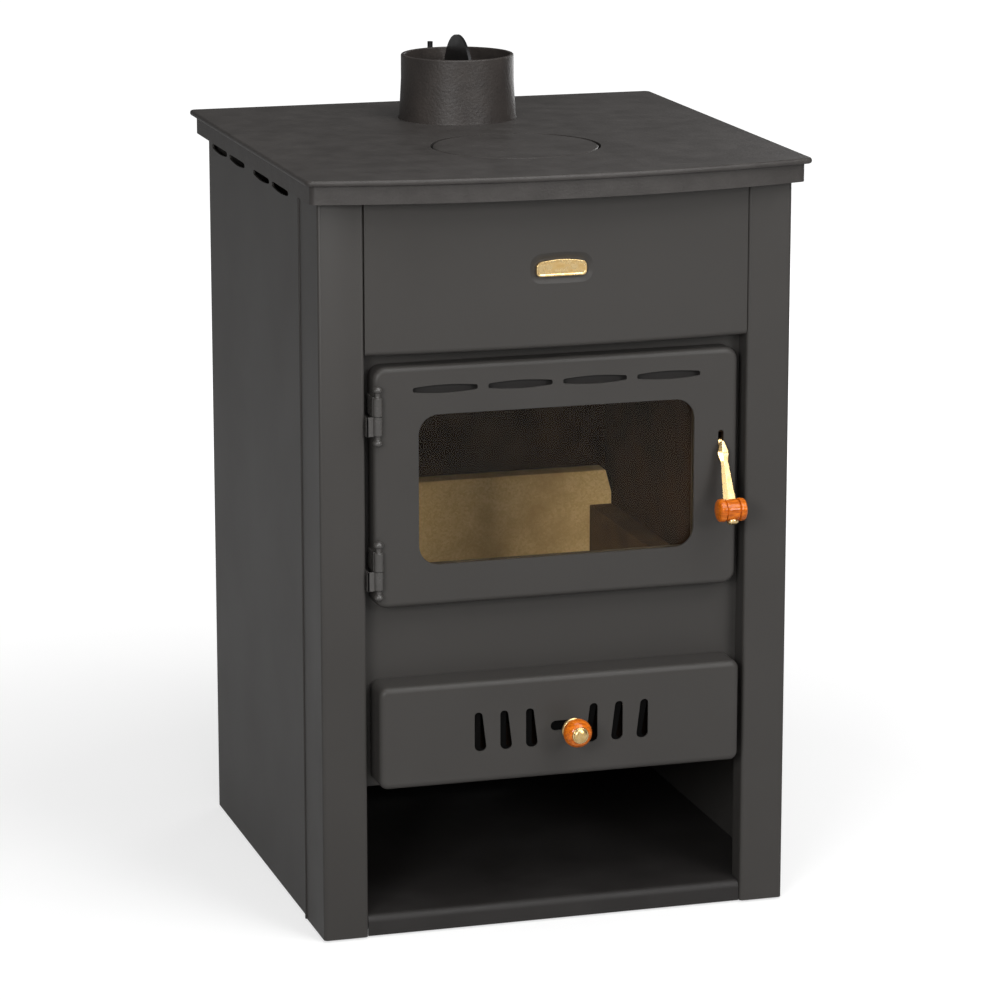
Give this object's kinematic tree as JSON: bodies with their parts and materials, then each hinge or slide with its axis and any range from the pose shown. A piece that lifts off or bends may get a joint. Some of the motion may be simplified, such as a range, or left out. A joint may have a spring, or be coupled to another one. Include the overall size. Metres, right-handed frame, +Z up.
{
  "type": "wood stove",
  "caption": "Free-standing steel wood stove with a cast iron hob, glazed fire door, sliding ash drawer, flue damper and an open wood store below.",
  "frame": {"origin": "middle of the footprint, on the floor", "axes": "+X to the right of someone facing the door, +Y to the back, +Z up"},
  "size_m": [0.532, 0.5724, 0.884],
  "materials": {
    "casing_paint": "matt heat-proof anthracite paint",
    "cast_iron": "sand-cast iron with thin matt paint",
    "fire_steel": "dull sooty steel plate",
    "dark_steel": "oiled dark steel",
    "zinc_steel": "zinc-plated steel",
    "vermiculite": "pressed vermiculite board",
    "fire_glass": "clear ceramic glass",
    "seal_fibre": "woven glass-fibre rope",
    "brass": "polished brass",
    "lacquered_wood": "turned wood with orange lacquer"
  },
  "bodies": {
    "stove": {"left_side_panel": "casing_paint", "right_side_panel": "casing_paint", "left_front_post": "casing_paint", "right_front_post": "casing_paint", "back_panel": "casing_paint", "back_panel_screws": "zinc_steel", "base_shelf": "casing_paint", "levelling_feet": "zinc_steel", "front_frame": "casing_paint", "upper_front_panel": "casing_paint", "badge_plate": "brass", "top_plate": "cast_iron", "flue_collar": "cast_iron", "collar_bolts": "zinc_steel", "firebox_left_wall": "fire_steel", "firebox_right_wall": "fire_steel", "firebox_back_wall": "fire_steel", "hearth_plate": "fire_steel", "ash_floor": "fire_steel", "grate": "cast_iron", "back_lining": "vermiculite", "left_lining": "vermiculite", "right_lining": "vermiculite", "baffle_rails": "fire_steel", "baffle_plate": "vermiculite", "drawer_runners": "fire_steel", "latch_keeper": "fire_steel", "upper_hinge_post_leaf": "casing_paint", "lower_hinge_post_leaf": "casing_paint", "hinge_pins": "dark_steel"},
    "door": {"door_panel": "casing_paint", "glass_gasket": "seal_fibre", "window_glass": "fire_glass", "glass_clips": "zinc_steel", "clip_screws": "zinc_steel", "door_liner": "fire_steel", "door_rope_seal": "seal_fibre", "slot_backing": "fire_steel", "latch_bracket": "fire_steel", "lever_pin": "dark_steel", "upper_hinge_door_leaf": "casing_paint", "lower_hinge_door_leaf": "casing_paint"},
    "handle": {"handle_lever": "brass", "handle_grip": "lacquered_wood", "grip_cap": "brass"},
    "drawer": {"ash_pan": "fire_steel", "drawer_front": "casing_paint", "drawer_brackets": "fire_steel", "bracket_rivets": "zinc_steel", "slide_guides": "fire_steel"},
    "air_control": {"air_plate": "fire_steel", "knob_stem": "dark_steel", "knob_ferrule": "brass", "knob_ball": "lacquered_wood", "knob_cap": "brass"},
    "lid": {"hotplate_lid": "cast_iron"},
    "damper": {"damper_disc": "dark_steel", "damper_spindle": "dark_steel", "damper_screws": "dark_steel"}
  },
  "joints": [
    {"name": "door_swing", "type": "hinge", "parent": "stove", "child": "door", "pos_m": [-0.191, -0.22575, 0.475], "axis": [0, 0, -1], "range_deg": [0, 115]},
    {"name": "handle_lift", "type": "hinge", "parent": "door", "child": "handle", "pos_m": [0.176, -0.21375, 0.4985], "axis": [-1, 0, 0], "range_deg": [0, 40]},
    {"name": "drawer_slide", "type": "slide", "parent": "stove", "child": "drawer", "axis": [0, -1, 0], "range_m": [0, 0.3]},
    {"name": "air_slide", "type": "slide", "parent": "drawer", "child": "air_control", "axis": [-1, 0, 0], "range_m": [0, 0.013]},
    {"name": "lid_lift", "type": "slide", "parent": "stove", "child": "lid", "axis": [0, 0, 1], "range_m": [0, 0.08]},
    {"name": "damper_turn", "type": "hinge", "parent": "stove", "child": "damper", "pos_m": [0, 0.14575, 0.828], "axis": [0, 1, 0], "range_deg": [0, 90]}
  ]
}
